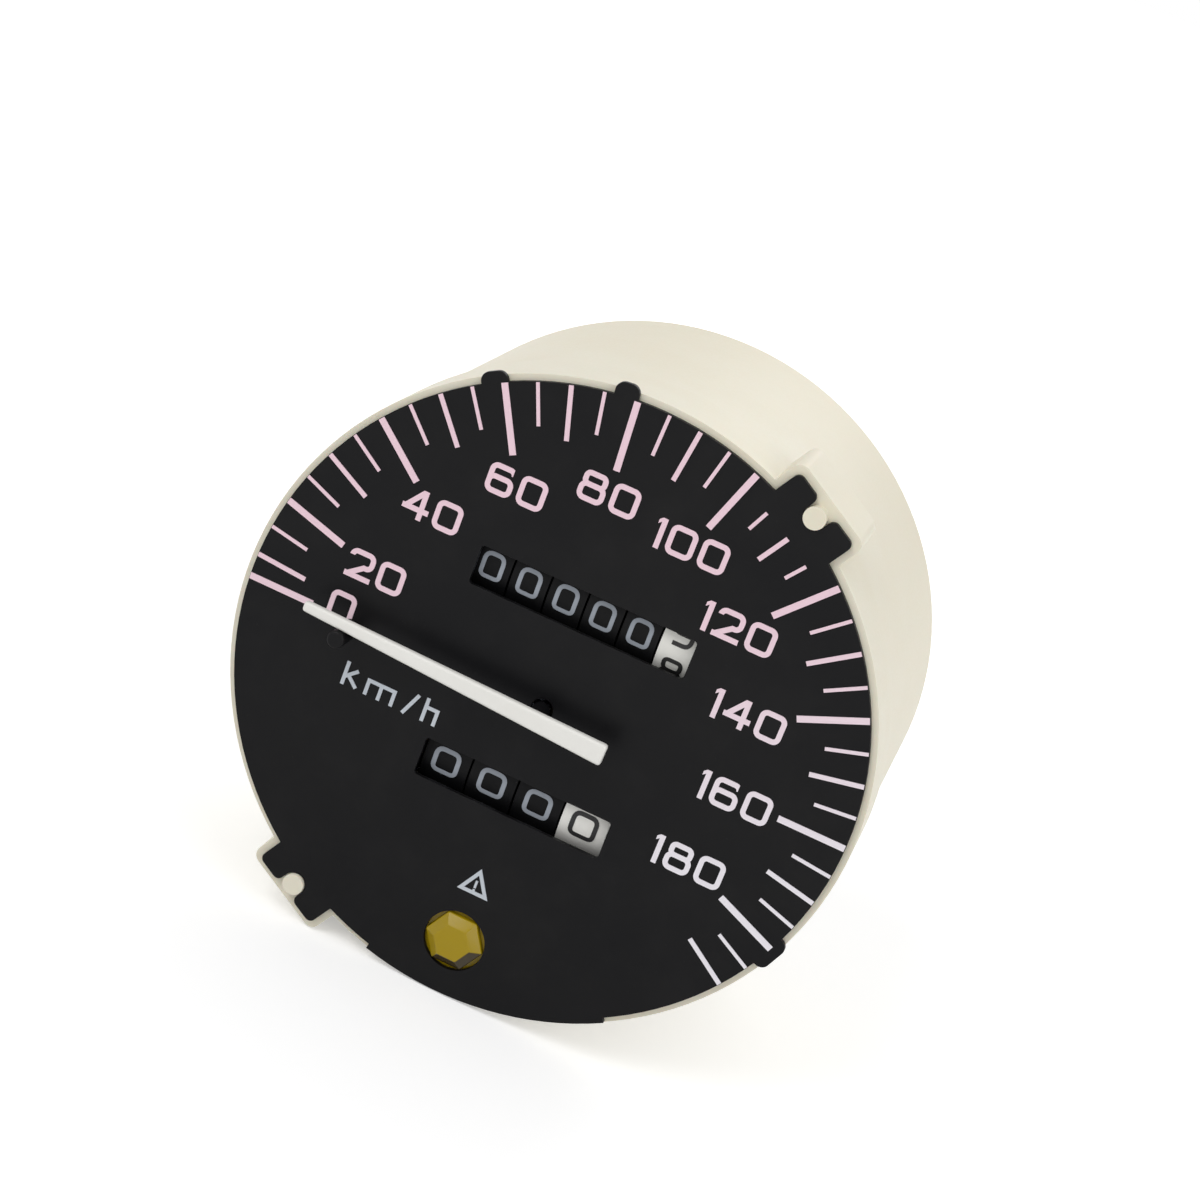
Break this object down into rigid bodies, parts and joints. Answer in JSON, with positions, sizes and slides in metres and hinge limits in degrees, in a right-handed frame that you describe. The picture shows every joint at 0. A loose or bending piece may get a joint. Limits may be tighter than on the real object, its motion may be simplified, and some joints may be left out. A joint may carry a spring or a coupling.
{
  "type": "motorcycle speedometer",
  "caption": "Round eddy-current speedometer insert: black dial with a white needle, odometer and trip drums, amber jewel, cream drum case and a cable neck at the rear.",
  "frame": {"origin": "on the drive axis, in the rear face of the case, midway between the two tapped rear holes", "axes": "+Y out of the back along the cable neck, +Z towards twelve o'clock on the dial, +X to the right of a person who reads it"},
  "size_m": [0.0878, 0.0724, 0.0885],
  "materials": {
    "cream_plastic": "satin moulded",
    "dial_black": "satin black paint",
    "print_ink": "screen print, pinkish white",
    "needle_white": "satin white",
    "black_plastic": "satin black",
    "drum_black": "satin black",
    "drum_white": "satin white",
    "natural_plastic": "natural moulded",
    "amber_plastic": "clear amber, faceted",
    "zinc": "die cast",
    "steel": "turned",
    "brass": "turned",
    "spring_steel": "blued strip",
    "light_alloy": "spun",
    "magnet": "sintered",
    "bulb_glass": "clear"
  },
  "bodies": {
    "case": {"housing": "cream_plastic", "dial_plate": "dial_black", "dial_scale": "print_ink", "dial_numerals": "print_ink", "dial_legend": "print_ink", "dial_feet": "brass", "dial_foot_clips": "steel", "stop_pin": "black_plastic", "warning_jewel": "amber_plastic", "movement_frame": "zinc", "front_bridge": "zinc", "bridge_screws": "steel", "needle_bush": "brass", "hairspring": "spring_steel", "hairspring_stud": "brass", "cable_neck": "zinc", "neck_bush": "brass", "frame_screws": "steel", "lamp_holders": "black_plastic", "lamp_bulbs": "bulb_glass", "odometer_shaft": "steel", "shaft_clips": "steel", "carry_shafts": "steel", "odometer_carry_pinions": "natural_plastic", "trip_carry_pinions": "natural_plastic"},
    "needle_line": {"needle": "needle_white", "needle_hub": "needle_white", "needle_spindle": "steel", "drag_cup": "light_alloy", "hairspring_collet": "brass"},
    "input_line": {"input_spindle": "steel", "drive_worm": "brass", "magnet": "magnet"},
    "cross_line": {"cross_shaft": "steel", "cross_wheel": "brass", "odometer_worm": "brass", "trip_worm": "brass"},
    "odometer_arbor_line": {"odometer_arbor": "steel", "odometer_worm_wheel": "brass", "odometer_pinion": "brass"},
    "trip_arbor_line": {"trip_arbor": "steel", "trip_worm_wheel": "brass", "trip_pinion": "brass"},
    "odometer_tenths": {"odometer_drum_6": "drum_white", "odometer_gear": "natural_plastic"},
    "trip_gear_line": {"trip_gear": "natural_plastic"},
    "trip_line": {"trip_shaft": "steel", "trip_bevel": "brass"},
    "reset_line": {"reset_spindle": "steel", "reset_bevel": "brass", "reset_knob": "black_plastic"},
    "odometer_drum_1": {"odometer_drum_1": "drum_black"},
    "odometer_drum_2": {"odometer_drum_2": "drum_black"},
    "odometer_drum_3": {"odometer_drum_3": "drum_black"},
    "odometer_drum_4": {"odometer_drum_4": "drum_black"},
    "odometer_drum_5": {"odometer_drum_5": "drum_black"},
    "trip_drum_1": {"trip_drum_1": "drum_black"},
    "trip_drum_2": {"trip_drum_2": "drum_black"},
    "trip_drum_3": {"trip_drum_3": "drum_black"},
    "trip_drum_4": {"trip_drum_4": "drum_white"}
  },
  "joints": [
    {"name": "needle_swing", "type": "hinge", "parent": "case", "child": "needle_line", "pos_m": [0, -0.054, 0], "axis": [0, 1, 0], "range_deg": [0, 218], "stiffness_Nm_per_rad": 0.0001, "springref_deg": -20.05},
    {"name": "input_spin", "type": "hinge", "parent": "case", "child": "input_line", "pos_m": [0, -0.024, 0], "axis": [0, 1, 0], "continuous": true},
    {"name": "cross_spin", "type": "hinge", "parent": "case", "child": "cross_line", "pos_m": [0.009, -0.0183, 0], "axis": [0, 0, 1], "continuous": true},
    {"name": "odometer_arbor_spin", "type": "hinge", "parent": "case", "child": "odometer_arbor_line", "pos_m": [0, -0.0274, 0.015], "axis": [1, 0, 0], "continuous": true},
    {"name": "trip_arbor_spin", "type": "hinge", "parent": "case", "child": "trip_arbor_line", "pos_m": [0, -0.0274, -0.015], "axis": [1, 0, 0], "continuous": true},
    {"name": "odometer_tenths_spin", "type": "hinge", "parent": "case", "child": "odometer_tenths", "pos_m": [0, -0.044, 0.015], "axis": [1, 0, 0], "continuous": true},
    {"name": "trip_gear_spin", "type": "hinge", "parent": "case", "child": "trip_gear_line", "pos_m": [0, -0.04381, -0.0125], "axis": [1, 0, 0], "continuous": true},
    {"name": "reset_spin", "type": "hinge", "parent": "case", "child": "reset_line", "pos_m": [-0.02304, -0.024, -0.0125], "axis": [0, 1, 0], "continuous": true},
    {"name": "trip_shaft_spin", "type": "hinge", "parent": "case", "child": "trip_line", "pos_m": [0, -0.04381, -0.0125], "axis": [1, 0, 0], "continuous": true},
    {"name": "odometer_drum_5_spin", "type": "hinge", "parent": "case", "child": "odometer_drum_5", "pos_m": [0, -0.044, 0.015], "axis": [1, 0, 0], "continuous": true},
    {"name": "odometer_drum_4_spin", "type": "hinge", "parent": "case", "child": "odometer_drum_4", "pos_m": [0, -0.044, 0.015], "axis": [1, 0, 0], "continuous": true},
    {"name": "odometer_drum_3_spin", "type": "hinge", "parent": "case", "child": "odometer_drum_3", "pos_m": [0, -0.044, 0.015], "axis": [1, 0, 0], "continuous": true},
    {"name": "odometer_drum_2_spin", "type": "hinge", "parent": "case", "child": "odometer_drum_2", "pos_m": [0, -0.044, 0.015], "axis": [1, 0, 0], "continuous": true},
    {"name": "odometer_drum_1_spin", "type": "hinge", "parent": "case", "child": "odometer_drum_1", "pos_m": [0, -0.044, 0.015], "axis": [1, 0, 0], "continuous": true},
    {"name": "trip_drum_1_spin", "type": "hinge", "parent": "case", "child": "trip_drum_1", "pos_m": [0, -0.04381, -0.0125], "axis": [1, 0, 0], "continuous": true},
    {"name": "trip_drum_2_spin", "type": "hinge", "parent": "case", "child": "trip_drum_2", "pos_m": [0, -0.04381, -0.0125], "axis": [1, 0, 0], "continuous": true},
    {"name": "trip_drum_3_spin", "type": "hinge", "parent": "case", "child": "trip_drum_3", "pos_m": [0, -0.04381, -0.0125], "axis": [1, 0, 0], "continuous": true},
    {"name": "trip_drum_4_spin", "type": "hinge", "parent": "case", "child": "trip_drum_4", "pos_m": [0, -0.04381, -0.0125], "axis": [1, 0, 0], "continuous": true}
  ],
  "couplings": [
    {"joint": "cross_spin", "follows": "input_spin", "ratio": 0.028571},
    {"joint": "odometer_arbor_spin", "follows": "input_spin", "ratio": -0.00071429},
    {"joint": "trip_arbor_spin", "follows": "input_spin", "ratio": -0.00071429},
    {"joint": "odometer_tenths_spin", "follows": "input_spin", "ratio": 0.00071429},
    {"joint": "trip_gear_spin", "follows": "input_spin", "ratio": 0.00071429},
    {"joint": "trip_shaft_spin", "follows": "reset_spin", "ratio": -1},
    {"joint": "odometer_drum_5_spin", "follows": "input_spin", "ratio": 0.000071429},
    {"joint": "odometer_drum_4_spin", "follows": "input_spin", "ratio": 0.0000071429},
    {"joint": "odometer_drum_3_spin", "follows": "input_spin", "ratio": 0.00000071429},
    {"joint": "odometer_drum_2_spin", "follows": "input_spin", "ratio": 0.000000071429},
    {"joint": "odometer_drum_1_spin", "follows": "input_spin", "ratio": 0.0000000071429},
    {"joint": "trip_drum_1_spin", "follows": "reset_spin", "ratio": -1},
    {"joint": "trip_drum_2_spin", "follows": "reset_spin", "ratio": -1},
    {"joint": "trip_drum_3_spin", "follows": "reset_spin", "ratio": -1},
    {"joint": "trip_drum_4_spin", "follows": "reset_spin", "ratio": -1}
  ]
}
